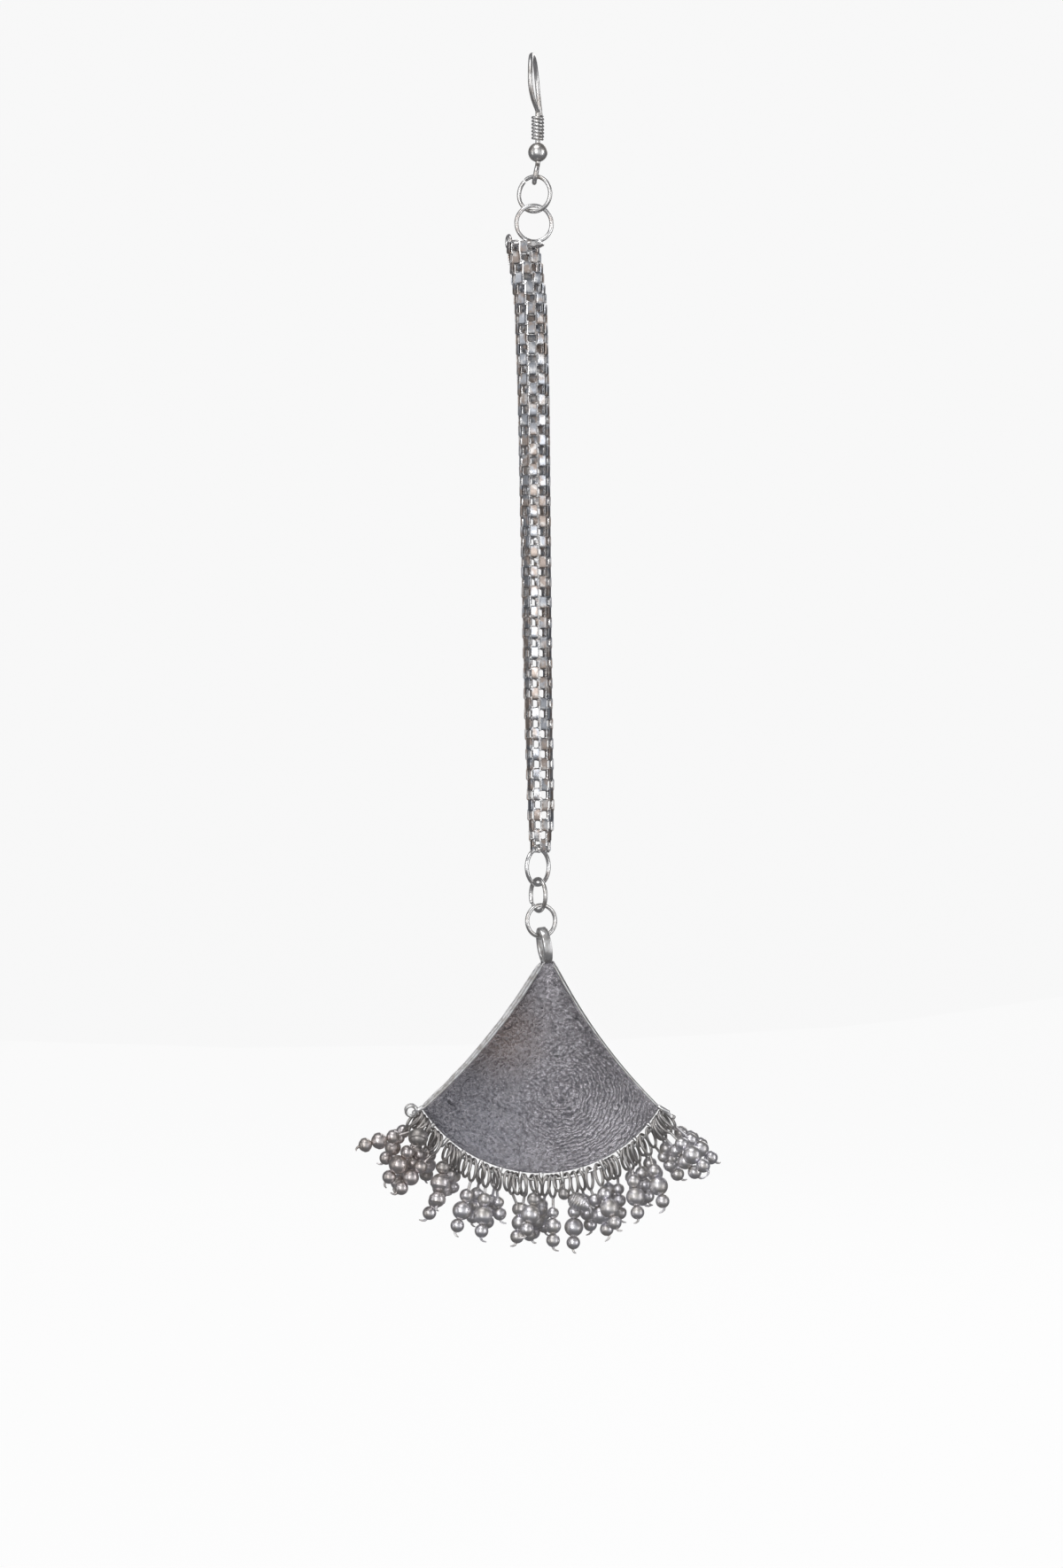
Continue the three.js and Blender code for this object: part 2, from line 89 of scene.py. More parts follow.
# Mesh chain
CHAIN_LENGTH = 93.8
CHAIN_RADIUS = 2.55
CHAIN_ROUTE = [
    {"share": 0, "x": -1.75, "width": 0.98},
    {"share": 0.04, "x": -1.1, "width": 1},
    {"share": 0.1, "x": -0.4, "width": 0.98},
    {"share": 0.25, "x": 0.05, "width": 0.955},
    {"share": 0.5, "x": 0.4, "width": 0.91},
    {"share": 0.75, "x": 0.75, "width": 0.87},
    {"share": 0.95, "x": 1.2, "width": 0.82},
    {"share": 1, "x": 1.05, "width": 0.62},
]
CHAIN_ROWS = 60
LINKS_PER_ROW = 5
CHAIN_TWIST = {"top": 3, "bottom": -18}
TOP_SOLDER = {"x": 1.5, "front": 1.15, "lift": 0.25, "wide": 1.9, "deep": 1.35, "tall": 0.72}
END_SOLDER = {"x": -0.15, "front": 0.4, "lift": 0.1, "wide": 1.4, "deep": 1.3, "tall": 0.6}
SOLDER_ROUGHNESS = 0.3
RAISED_LINK = {"x": -2.05, "lift": 0.15, "radius": 0.95, "turn": -70, "wire": 0.5}
FIRST_ROW = 0.6
LINK_JITTER = 0.03
STRIP = {"wide": 1.12, "tall": 1.92, "deep": 0.86, "wall": 0.22, "corner": 0.3, "soften": 0.05}
FRAME_LINK = {"wide": 2.3, "tall": 2.3, "side": 0.5, "bar": 0.27, "deep": 0.3,
              "corner": 0.5, "soften": 0.04}

# Bail and fan plate
BAIL_WIDTH = 1.3
BAIL_THICKNESS = 0.85
BAIL_HEIGHT = 5.8
BAIL_DEPTH = 4.5
BAIL_TURN = 15
BAIL_LEAN = 9
BAIL_GAP = 0.33
BAIL_X = 1.7
BAIL_ROUNDING = 0.2
SHEET = 0.9
SHEET_EDGE = 0.72
APEX_X = 2.3
APEX_HALF_WIDTH = 0.55
APEX_SINK = 0.45
ARC_RADIUS = 20.9
ARC_HALF_ANGLE = 60
ARC_X = 1.23
ARC_DROP = 12.0
SIDE_HOLLOW = 1.15
LEFT_CURL = 5.2
RIGHT_CURL = 2.8
CURL_POWER = 0.72
BOTTOM_LIP = 1.0
PLATE_LEAN = 0.07
SLOTS = 14
SLOT_HEIGHT = 0.75
POST_WIRE = 0.72
POST_REACH = 1.75
POST_SINK = 0.35

# A post's width at shares of its length
POST_SHAPE = {-0.02: 0.35, 0.04: 0.75, 0.14: 1, 0.5: 0.96, 0.86: 1, 0.96: 0.75, 1.0: 0.35}

# Dents in the sheet: how many to a millimetre, and how deep
DENTS = ((0.45, 0.09), (1.3, 0.03))

# Rubbed lines on the sheet's edges: the side, how far through the sheet, and the radius
EDGE_LINES = ((-1, 0.12, 0.25), (-1, 0.8, 0.28), (1, 0.16, 0.18))

# Flat patches of solder on the left edge: across, down, width, height
SOLDER_SPOTS = ((-0.86, 0.37, 0.6, 0.85), (-0.88, 0.86, 1.1, 0.5))
SOLDER_DEPTH = 0.16

# Spots on the fan and among the drops round which a finish changes; round two of the fan's spots its colour
# is painted shade, and round one it is a painted highlight
RIPPLE_CENTRE = (3.8, -3.0, -160.6)
RIPPLE_MIDDLE = (9, -4, -164)
RIPPLE_PITCH = 0.56
BROWN_SPOT = (-5.5, -3, -151)
# Middle of the painted shade low on the left of the fan
PAINTED_LEFT_SHADE_SPOT = (-9, -4, -166)
SHADE_SPOT = (8, -3, -150)
# Middle of the painted highlight low on the right of the fan
PAINTED_HIGHLIGHT_SPOT = (12, -5, -166)
BROWN_BEADS_SPOT = (-22, -6, -170)
RIM_FRONT = -5.5

# Drops: the slot each hangs in, its ring's angle, the bare link, its beads' angle, and its beads
BEAD = {"tiny": 0.86, "small": 1.02, "medium": 1.2, "large": 1.41}
BEAD_SWELL = 1.05
BELT = {"angle": 26, "inside": 0.98, "outside": 1.04, "edge": 0.85}
DROP_RING_LENGTH = 3.4
DROP_RING_WIDTH = 1.85
CONE = {"length": 3.7, "radius": 1.38, "coils": 8, "ridge": 0.1}
DROPS = [
    {"slot": 0.24, "hang": -50, "link": 5.1, "lean": -34, "back": 28, "beads": "tiny medium small"},
    {"slot": 0.43, "hang": -42, "link": 4.8, "lean": -74, "back": -8, "beads": "small medium small"},
    {"slot": 0.6, "hang": -34, "link": 2.3, "lean": -12, "back": -43, "beads": "large"},
    {"slot": 0.81, "hang": -34, "link": 4.6, "lean": -36, "back": 8, "beads": "small large small"},
    {"slot": 1.3, "hang": -28, "link": 4.0, "lean": -36, "back": 24, "beads": "tiny small small medium"},
    {"slot": 1.7, "hang": -26, "link": 4.6, "lean": -42, "back": 0, "beads": "small medium small"},
    {"slot": 2.3, "hang": -20, "link": 2.7, "lean": -10, "back": -16, "beads": "small large medium"},
    {"slot": 2.7, "hang": -12, "link": 3.1, "lean": -26, "back": 10, "beads": "small large small small"},
    {"slot": 3.7, "hang": -8, "link": 4.5, "lean": -17, "back": 0, "beads": "small large small"},
    {"slot": 4.35, "hang": -2, "link": 4.1, "lean": -5, "back": -4, "beads": "small large small"},
    {"slot": 4.72, "hang": 3, "link": 4.6, "lean": -10, "back": 24, "beads": "tiny small small"},
    {"slot": 5.6, "hang": 3, "link": 4.8, "lean": 22, "back": 12, "beads": "small medium small"},
    {"slot": 6.6, "hang": 14, "link": 2.6, "lean": -12, "back": -18, "beads": "small large small"},
    {"slot": 7.25, "hang": -4, "link": 4.6, "lean": -16, "back": 24, "beads": "small medium small"},
    {"slot": 7.5, "hang": 4, "link": 4.7, "lean": 0, "back": 0, "beads": "tiny medium small"},
    {"slot": 7.75, "hang": 4, "link": 2.6, "lean": 60, "back": -26, "beads": "tiny cone"},
    {"slot": 8.55, "hang": 4, "link": 5.0, "lean": -2, "back": 6, "beads": "small large small"},
    {"slot": 9.28, "hang": 6, "link": 4.0, "lean": 22, "back": 4, "beads": "small large small"},
    {"slot": 9.74, "hang": 10, "link": 3.6, "lean": 20, "back": -20, "beads": "small large small"},
    {"slot": 10.6, "hang": 12, "link": 4.4, "lean": 4, "back": 16, "beads": "tiny small small"},
    {"slot": 11.28, "hang": 19, "link": 4.0, "lean": 7, "back": -8, "beads": "small large small"},
    {"slot": 11.72, "hang": 20, "link": 4.1, "lean": 14, "back": 20, "beads": "small small small"},
    {"slot": 12.3, "hang": 24, "link": 4.7, "lean": 15, "back": -4, "beads": "small large small"},
    {"slot": 12.7, "hang": 24, "link": 4.6, "lean": 37, "back": 24, "beads": "tiny small small"},
    {"slot": 13.24, "hang": 32, "link": 4.6, "lean": 41, "back": 2, "beads": "small medium small"},
    {"slot": 13.5, "hang": 40, "link": 4.7, "lean": 45, "back": -20, "beads": "small large small"},
    {"slot": 13.76, "hang": 47, "link": 5.6, "lean": 48, "back": 16, "beads": "small medium small"},
]

# Shorter strands behind the others, which thicken the clusters; the columns are the same
BACK_DROPS = [
    {"slot": 0.33, "hang": -40, "link": 4.6, "lean": -52, "back": 44, "beads": "small small"},
    {"slot": 0.92, "hang": -36, "link": 4.4, "lean": -22, "back": 34, "beads": "small medium small"},
    {"slot": 1.5, "hang": -28, "link": 4.2, "lean": -14, "back": 44, "beads": "small medium small"},
    {"slot": 2.86, "hang": -14, "link": 3.6, "lean": -8, "back": 30, "beads": "small small"},
    {"slot": 4.1, "hang": -8, "link": 4.2, "lean": -10, "back": 24, "beads": "small small small"},
    {"slot": 4.92, "hang": -2, "link": 4.3, "lean": 6, "back": 14, "beads": "tiny small"},
    {"slot": 6.1, "hang": 8, "link": 4.3, "lean": -10, "back": 8, "beads": "small medium small"},
    {"slot": 6.86, "hang": 4, "link": 4.0, "lean": 8, "back": 28, "beads": "small small small"},
    {"slot": 8.86, "hang": 8, "link": 4.2, "lean": 12, "back": 26, "beads": "small medium small"},
    {"slot": 10.1, "hang": 10, "link": 4.0, "lean": 10, "back": 30, "beads": "small medium small"},
    {"slot": 11.1, "hang": 18, "link": 3.8, "lean": 24, "back": 27, "beads": "small medium small"},
    {"slot": 12.08, "hang": 24, "link": 4.2, "lean": 26, "back": 34, "beads": "small medium small"},
    {"slot": 13.1, "hang": 32, "link": 4.2, "lean": 24, "back": 30, "beads": "small small small"},
    {"slot": 13.62, "hang": 44, "link": 4.4, "lean": 56, "back": 34, "beads": "small medium small"},
]

SLOT_TWISTS = (34, 38, 30, 34, 36, -34, 32, -36, 36, -34, 38, -36, -40, -34)
BANDED_DROPS = (2, 3, 7, 16)
SPUR_BENDS = (0.9, -0.8, 0.5, -1.0, 0.7)

# Bare rings on the rim wire: the slot each hangs in, its angle, its tilt and its length
BARE_RINGS = [
    {"slot": 1.5, "hang": -22, "back": -12, "long": 3.1},
    {"slot": 2.5, "hang": -12, "back": -6, "long": 3.2},
    {"slot": 3.2, "hang": -16, "back": 4, "long": 3.0},
    {"slot": 3.42, "hang": -12, "back": -10, "long": 3.2},
    {"slot": 4.14, "hang": -8, "back": 12, "long": 2.7},
    {"slot": 5.4, "hang": 2, "back": 6, "long": 2.9},
    {"slot": 5.82, "hang": 5, "back": -10, "long": 3.2},
    {"slot": 6.2, "hang": -6, "back": 8, "long": 3.2},
    {"slot": 8.2, "hang": 2, "back": -12, "long": 3.0},
    {"slot": 10.2, "hang": 10, "back": -6, "long": 3.0},
    {"slot": 10.4, "hang": 12, "back": 8, "long": 3.3},
    {"slot": 11.5, "hang": 20, "back": 4, "long": 3.2},
    {"slot": 13.36, "hang": 34, "back": 10, "long": 3.0},
]

# Heights down the string of links, each hanging in the one above
STEM_BOTTOM = COIL_TOP - COIL_TURNS * COIL_PITCH - 2 * COIL_GAP - BALL_DIAMETER
LOOP_Z = STEM_BOTTOM - LOOP_DROP - LOOP_RADIUS
LINK_STEP = LINK_WIRE + LINK_GAP
TOP_RING_Z = LOOP_Z - LOOP_RADIUS + (HOOK_WIRE + LINK_WIRE) / 2 + LINK_GAP - TOP_RING["radius"]
CHAIN_TOP_RING_Z = TOP_RING_Z - TOP_RING["radius"] + LINK_STEP - CHAIN_TOP_RING["radius"]
CHAIN_TOP = CHAIN_TOP_RING_Z - CHAIN_TOP_RING["radius"] - LINK_WIRE / 4
CHAIN_BOTTOM = CHAIN_TOP - CHAIN_LENGTH
CHAIN_END_RING_Z = CHAIN_BOTTOM - CHAIN_END_RING["radius"]
SMALL_LINK_Z = CHAIN_END_RING_Z - CHAIN_END_RING["radius"] + LINK_STEP - SMALL_LINK["radius"]
LOWER_RING_Z = SMALL_LINK_Z - SMALL_LINK["radius"] + LINK_STEP - LOWER_RING["radius"]
BAIL_Z = (LOWER_RING_Z - LOWER_RING["radius"] + LINK_WIRE / 2
          + BAIL_GAP + BAIL_THICKNESS - BAIL_HEIGHT / 2)
APEX_Z = BAIL_Z - BAIL_HEIGHT / 2 + APEX_SINK
ARC_Z = APEX_Z - ARC_DROP
RIM_OUT = SLOT_HEIGHT + RIM_WIRE / 2


class Signal:
    """An output socket in a finish's node tree, used in sums as a number is."""

    def __init__(self, finish, socket):
        self.finish, self.socket = finish, socket

    def _maths(self, operation, *values):
        return self.finish.node("ShaderNodeMath", {"operation": operation}, dict(enumerate(values)))

    def __add__(self, other):
        return self._maths("ADD", self, other)

    def __sub__(self, other):
        return self._maths("SUBTRACT", self, other)

    def __rsub__(self, other):
        return self._maths("SUBTRACT", other, self)

    def __mul__(self, other):
        return self._maths("MULTIPLY", self, other)

    def __truediv__(self, other):
        return self._maths("DIVIDE", self, other)

    __radd__ = __add__
    __rmul__ = __mul__

    def sine(self):
        return self._maths("SINE", self)


class Finish:
    """A metal's surface, put together node by node."""

    def __init__(self, name, **shader_values):
        self.material = bpy.data.materials.new(name)
        self.material.use_nodes = True
        self.tree = self.material.node_tree
        self.tree.nodes.clear()
        self.shader = self.tree.nodes.new("ShaderNodeBsdfPrincipled")
        output = self.tree.nodes.new("ShaderNodeOutputMaterial")
        self.tree.links.new(self.shader.outputs["BSDF"], output.inputs["Surface"])
        self.place = self.node("ShaderNodeTexCoord", output="Object")
        self.feed(**shader_values)

    def _plug(self, target, value):
        if isinstance(value, Signal):
            self.tree.links.new(value.socket, target)
        else:
            target.default_value = value

    def node(self, kind, settings=None, sockets=None, output=0):
        """Adds any node with its settings and inputs, and gives one of its outputs."""
        made = self.tree.nodes.new(kind)
        for name, value in (settings or {}).items():
            setattr(made, name, value)
        for key, value in (sockets or {}).items():
            self._plug(made.inputs[key], value)
        return Signal(self, made.outputs[output])

    def feed(self, **values):
        """Feeds the shader's inputs, whose spaces are written as underscores."""
        for name, value in values.items():
            self._plug(self.shader.inputs[name.replace("_", " ")], value)

    def colour(self, factor, low, high):
        """One colour fading into another as the factor goes from 0 to 1."""
        settings = {"data_type": "RGBA", "clamp_factor": True}
        return self.node("ShaderNodeMix", settings, {0: factor, 6: low, 7: high}, output=2)

    def grain(self, size, detail=3, rough=0.55):
        """Noise whose features are about as wide as the size, in millimetres."""
        sockets = {"Vector": self.place, "Scale": 1 / (size * METRES), "Detail": detail, "Roughness": rough}
        return self.node("ShaderNodeTexNoise", None, sockets, output="Fac")

    def distance(self, spot):
        """How far the surface is from a spot, both in millimetres."""
        sockets = {0: self.place, 1: [METRES * value for value in spot]}
        return self.node("ShaderNodeVectorMath", {"operation": "DISTANCE"}, sockets, output=1) / METRES

    def between(self, value, low, high):
        """0 below the low value, 1 above the high one, and smooth between them."""
        settings = {"interpolation_type": "SMOOTHSTEP"}
        sockets = {"Value": value, "From Min": low, "From Max": high}
        return self.node("ShaderNodeMapRange", settings, sockets)

    def zone(self, spot, far, near, wander=0.0):
        """1 round a spot as far as the near distance, fading to 0 at the far one, in millimetres."""
        return self.between(self.distance(spot) + wander, far, near)

    def relief(self, height, depth):
        """Bump whose height of 1 stands for the depth, in millimetres."""
        sockets = {"Height": height, "Distance": depth * METRES, "Strength": 1.0}
        self.feed(Normal=self.node("ShaderNodeBump", None, sockets))


def grey(value, warm=0.0):
    """A grey of a metal, with a little more red and less blue when it is warm."""
    return (value * (1 + warm), value, value * (1 - warm), 1)


def hook_silver():
    """Bright silver wire with fine draw marks and a little tarnish."""
    finish = Finish("bright_silver", Metallic=1.0)
    cloud = finish.between(finish.grain(1.6), 0.4, 0.66)
    fine = finish.grain(0.12, detail=2)
    finish.feed(Base_Color=finish.colour(cloud, grey(0.86, 0.005), grey(0.6, 0.06)))
    finish.feed(Roughness=0.26 + cloud * 0.12 + fine * 0.08)
    finish.relief(fine + finish.grain(0.5) * 1.5, 0.005)
    return finish.material


def strip_silver():
    """The woven strips: brown on some links and blue-grey on others, with a soft sheen."""
    finish = Finish("tarnished_strip", Metallic=1.0)
    brown = finish.between(finish.grain(2.6), 0.44, 0.56)
    pale = finish.between(finish.grain(1.4), 0.5, 0.62)
    fine = finish.grain(0.12, detail=2)
    tarnish = finish.colour(brown, (0.44, 0.46, 0.5, 1), (0.46, 0.39, 0.35, 1))
    finish.feed(Base_Color=finish.colour(pale * 0.6, tarnish, grey(0.88, 0.01)))
    finish.feed(Roughness=0.24 + brown * 0.1 + fine * 0.1)
    finish.relief(finish.grain(0.5), 0.02)
    return finish.material


def frame_silver():
    """The frames between the strips, rubbed bright, with tarnish left here and there."""
    finish = Finish("rubbed_frame", Metallic=1.0)
    dull = finish.between(finish.grain(1.7), 0.46, 0.66)
    fine = finish.grain(0.12, detail=2)
    finish.feed(Base_Color=finish.colour(dull, grey(0.97, 0.0), (0.66, 0.61, 0.58, 1)))
    finish.feed(Roughness=0.2 + dull * 0.12 + fine * 0.1)
    finish.relief(finish.grain(0.5), 0.015)
    return finish.material


def fan_silver():
    """Oxidised beaten sheet: fine grain, ripples low on the right with painted shade in their furrows,
    brown high on the left, painted shade low on the left and high on the right, and a painted highlight low
    on the right.
    """
    finish = Finish("oxidised_silver", Metallic=1.0)
    wander = finish.grain(2.2)
    rings = finish.distance(RIPPLE_CENTRE) + wander * 2.4
    ripple = (rings * (math.tau / RIPPLE_PITCH)).sine() * finish.zone(RIPPLE_MIDDLE, 17, 3)
    brown = finish.zone(BROWN_SPOT, 14, 5, wander * 8)
    # Painted shade low on the left
    painted_left_shade = finish.zone(PAINTED_LEFT_SHADE_SPOT, 21, 6, wander * 10)
    shade = finish.zone(SHADE_SPOT, 15, 6, wander * 6)
    # A painted highlight low on the right, by the lip of the sheet
    painted_highlight = finish.zone(PAINTED_HIGHLIGHT_SPOT, 12, 4, wander * 5)
    fine = finish.grain(0.5, detail=4, rough=0.7)
    speck = finish.between(fine, 0.36, 0.66)
    base = finish.colour(brown * 0.85, (0.3, 0.288, 0.31, 1), (0.31, 0.235, 0.21, 1))
    # The painted shade low on the left: a cold dark grey
    base = finish.colour(painted_left_shade * 0.6, base, (0.26, 0.27, 0.32, 1))
    base = finish.colour(shade * 0.6, base, (0.19, 0.18, 0.195, 1))
    # The painted highlight: a pale colour low on the right
    base = finish.colour(painted_highlight * 0.8, base, (0.62, 0.6, 0.63, 1))
    base = finish.colour(speck * 0.55, base, (0.56, 0.54, 0.57, 1))
    # Painted shade in the furrows of the ripples
    painted_furrow_shade = finish.between(ripple, 0.1, 0.8) * 0.75
    pit = finish.between(fine, 0.46, 0.3) * 0.7
    base = finish.colour(painted_furrow_shade, base, (0.16, 0.155, 0.18, 1))
    finish.feed(Base_Color=finish.colour(pit, base, (0.12, 0.115, 0.13, 1)))
    finish.feed(Roughness=0.27 - speck * 0.1 + brown * 0.06)
    finish.relief(fine * 1.8 + ripple * 0.2 + finish.grain(1.1, detail=2) * 0.6, 0.095)
    return finish.material


def worn_edge():
    """The fan's bright rubbed edges, posts and rim wire."""
    finish = Finish("rubbed_silver", Metallic=1.0)
    dull = finish.between(finish.grain(1.1), 0.42, 0.62)
    fine = finish.grain(0.3)
    finish.feed(Base_Color=finish.colour(dull, grey(0.95, 0.0), grey(0.6, 0.03)))
    finish.feed(Roughness=0.26 + dull * 0.12 + fine * 0.08)
    finish.relief(fine + finish.grain(0.8), 0.03)
    return finish.material


def bead_silver():
    """Pewter-grey beads, a little browner towards the left, with a soft sheen."""
    finish = Finish("bead_silver", Metallic=1.0)
    dull = finish.between(finish.grain(1.5), 0.36, 0.66)
    brown = finish.zone(BROWN_BEADS_SPOT, 24, 6, finish.grain(4) * 12)
    fine = finish.grain(0.3)
    base = finish.colour(dull, (0.88, 0.87, 0.91, 1), grey(0.66, 0.04))
    base = finish.colour(brown * 0.6, base, (0.6, 0.52, 0.48, 1))
    rings = finish.zone((ARC_X, RIM_FRONT, ARC_Z), 26.2, 24.6)
    finish.feed(Base_Color=finish.colour(rings * 0.75, base, grey(0.4, 0.04)))
    finish.feed(Roughness=0.31 + dull * 0.1 + fine * 0.08)
    finish.relief(fine + finish.grain(0.8) * 0.6, 0.02)
    return finish.material


def turned(degrees, axis):
    """A turn about one axis, as a matrix."""
    return Matrix.Rotation(math.radians(degrees), 4, axis)


def new_verts(result):
    """The vertices that an extrusion made."""
    return [part for part in result["geom"] if isinstance(part, bmesh.types.BMVert)]


def edges_within(verts):
    """The edges whose two ends are both among the vertices."""
    kept = set(verts)
    return [edge for edge in {e for v in verts for e in v.link_edges} if set(edge.verts) <= kept]


def sweep(bm, points, radius, sides, radii=None):
    """A round wire: one circle extruded from point to point, turned to follow the route."""
    points = [Vector(point) for point in points]
    radii = radii or [1.0] * len(points)
    direction = (points[1] - points[0]).normalized()
    start = Matrix.Translation(points[0]) @ direction.to_track_quat("Z", "Y").to_matrix().to_4x4()
    circle = bmesh.ops.create_circle(bm, segments=sides, radius=radius * radii[0], matrix=start)
    verts = circle["verts"]
    edges = edges_within(verts)
    bmesh.ops.edgeloop_fill(bm, edges=edges)
    ahead = points[2:] + [2 * points[-1] - points[-2]]
    for i, (before, here, after) in enumerate(zip(points, points[1:], ahead), 1):
        verts = new_verts(bmesh.ops.extrude_edge_only(bm, edges=edges))
        edges = edges_within(verts)
        onward = (after - before).normalized()
        turn = direction.rotation_difference(onward).to_matrix()
        bmesh.ops.rotate(bm, cent=before, matrix=turn, verts=verts)
        bmesh.ops.translate(bm, vec=here - before, verts=verts)
        size = radii[i] / radii[i - 1]
        bmesh.ops.scale(bm, vec=(size,) * 3, space=Matrix.Translation(-here), verts=verts)
        direction = onward
    bmesh.ops.edgeloop_fill(bm, edges=edges)


def rounded_ends(count, tip=0.45):
    """Radius factors that draw in the first and last rings of a wire."""
    return [tip, 0.86] + [1.0] * (count - 4) + [0.86, tip]


def smooth_route(points, steps):
    """A curve through the points, with the given number of steps between each two."""
    points = [Vector(point) for point in points]
    padded = [2 * points[0] - points[1], *points, 2 * points[-1] - points[-2]]
    route = [points[0]]
    for a, b, c, d in zip(padded, padded[1:], padded[2:], padded[3:]):
        for i in range(1, steps + 1):
            t = i / steps
            route.append(0.5 * (2 * b + t * (c - a) + t * t * (2 * a - 5 * b + 4 * c - d)
                                + t ** 3 * (3 * b - a - 3 * c + d)))
    return route


def spun(bm, profile, place, steps=24):
    """A shape turned about its own Z axis from a profile of radius and height."""
    verts = [bm.verts.new((radius, 0, height)) for radius, height in profile]
    edges = [bm.edges.new(pair) for pair in zip(verts, verts[1:])]
    bmesh.ops.spin(bm, geom=verts + edges, cent=(0, 0, 0), axis=(0, 0, 1),
                   angle=math.tau, steps=steps, use_merge=True)
    made = connected(verts)
    bmesh.ops.remove_doubles(bm, verts=made, dist=1e-5)
    made = [vert for vert in made if vert.is_valid]
    bmesh.ops.transform(bm, matrix=place, verts=made)
    return made


def connected(verts):
    """All the vertices joined to these by edges."""
    found, waiting = set(), list(verts)
    while waiting:
        vert = waiting.pop()
        if vert not in found:
            found.add(vert)
            waiting.extend(edge.other_vert(vert) for edge in vert.link_edges)
    return list(found)


def arc_profile(radius, start, end, steps, centre=0.0):
    """Profile points on a circle, from the start angle to the end angle in degrees."""
    angles = [math.radians(start + (end - start) * i / steps) for i in range(steps + 1)]
    return [(radius * math.cos(a), centre + radius * math.sin(a)) for a in angles]


def mesh_of(bm, name):
    """Turns the drawn shape into a mesh."""
    mesh = bpy.data.meshes.new(name)
    bm.to_mesh(mesh)
    bm.free()
    return mesh


def in_scene(name, data):
    """A new object in the scene for a mesh, a light or a camera."""
    made = bpy.data.objects.new(name, data)
    bpy.context.scene.collection.objects.link(made)
    return made


def piece(name, bm, body, finish, replaced=()):
    """Makes the shape, drawn in millimetres, into a piece that rides on a body."""
    bmesh.ops.remove_doubles(bm, verts=bm.verts, dist=1e-5)
    bmesh.ops.recalc_face_normals(bm, faces=bm.faces)
    bmesh.ops.scale(bm, vec=(METRES,) * 3, verts=bm.verts)
    mesh = mesh_of(bm, name)
    mesh.shade_smooth()
    mesh.set_sharp_from_angle(angle=SHARP_EDGE)
    mesh.materials.append(finish)
    made = in_scene(name, mesh)
    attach(made, body)
    if replaced:
        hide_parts(*replaced)


def hook_points():
    """The ear wire's route: over the bend, down the stem and round the loop."""
    heights = (COIL_TOP, (COIL_TOP + STEM_BOTTOM) / 2, STEM_BOTTOM + HOOK_WIRE, STEM_BOTTOM)
    stem = [(COIL_X, HANG_Y, z) for z in heights]
    loop = []
    for angle in range(40, -241, -28):
        across = LOOP_RADIUS * math.cos(math.radians(angle))
        up = LOOP_RADIUS * math.sin(math.radians(angle))
        x = COIL_X - LOOP_LEAN * (STEM_BOTTOM - LOOP_Z - up) / (LOOP_DROP + 2 * LOOP_RADIUS)
        loop.append((x, HANG_Y + across, LOOP_Z + up))
    return HOOK_ROUTE + stem + loop


def ear_hook(finish):
    """The ear wire, one round wire from its tip to its loop."""
    bm = bmesh.new()
    route = smooth_route(hook_points(), 6)
    sweep(bm, route, HOOK_WIRE / 2, 16, rounded_ends(len(route)))
    piece("hook_wire", bm, "hook", finish, ["ear_hook"])


def hook_coil(finish):
    """The wire wound round the stem: a circle spun and lowered turn by turn."""
    radius = HOOK_WIRE / 2 + COIL_GAP + COIL_WIRE / 2
    turns, steps = COIL_TURNS - 1, 20
    rise = COIL_PITCH * turns
    middle = COIL_TOP - COIL_TURNS * COIL_PITCH / 2
    points = []
    for i in range(turns * steps + 1):
        angle = math.tau * i / steps
        share = i / (turns * steps)
        points.append((COIL_X + radius * math.cos(angle), HANG_Y + radius * math.sin(angle),
                       middle + rise * (0.5 - share)))
    bm = bmesh.new()
    sweep(bm, points, COIL_WIRE / 2, 10, rounded_ends(len(points)))
    piece("coil", bm, "hook", finish, ["hook_coil"])


def hook_ball(finish):
    """The drilled ball that the stem passes through."""
    bm = bmesh.new()
    radius = BALL_DIAMETER / 2
    bore = HOOK_WIRE / 2 + COIL_GAP
    rim = math.degrees(math.acos(bore / radius))
    outside = arc_profile(radius, -rim, rim, 24)
    place = Matrix.Translation((COIL_X, HANG_Y, STEM_BOTTOM + COIL_GAP + radius))
    spun(bm, outside + [outside[0]], place, 36)
    piece("ball", bm, "hook", finish, ["hook_ball"])


def ring_place(ring, z):
    """Stands a ring drawn flat about Z upright at its place in the string of links."""
    return Matrix.Translation((ring["x"], HANG_Y, z)) @ turned(ring["turn"], "Z") @ turned(90, "X")


def cut_ring(bm, ring, z):
    """A jump ring whose two ends miss each other by a small step."""
    steps, radius = 48, ring["radius"]
    points = []
    for i in range(steps + 1):
        share = i / steps
        angle = math.radians(ring["cut"] + RING_CUT / 2 + share * (360 - RING_CUT))
        step = (share - 0.5) * RING_STEP
        points.append(Vector((radius * math.cos(angle), radius * math.sin(angle), step)))
    place = ring_place(ring, z)
    radii = [0.8] + [1.0] * (steps - 1) + [0.8]
    sweep(bm, [place @ point for point in points], LINK_WIRE / 2, 14, radii)


def whole_ring(bm, place, radius, wire, steps=48, sides=14):
    """A closed ring: a circle of wire spun right round."""
    stood = Matrix.Translation((radius, 0, 0)) @ turned(90, "X")
    circle = bmesh.ops.create_circle(bm, segments=sides, radius=wire / 2, matrix=stood)["verts"]
    bmesh.ops.spin(bm, geom=circle + edges_within(circle), cent=(0, 0, 0), axis=(0, 0, 1),
                   angle=math.tau, steps=steps, use_merge=True)
    verts = connected(circle)
    bmesh.ops.transform(bm, matrix=place, verts=verts)
    return verts


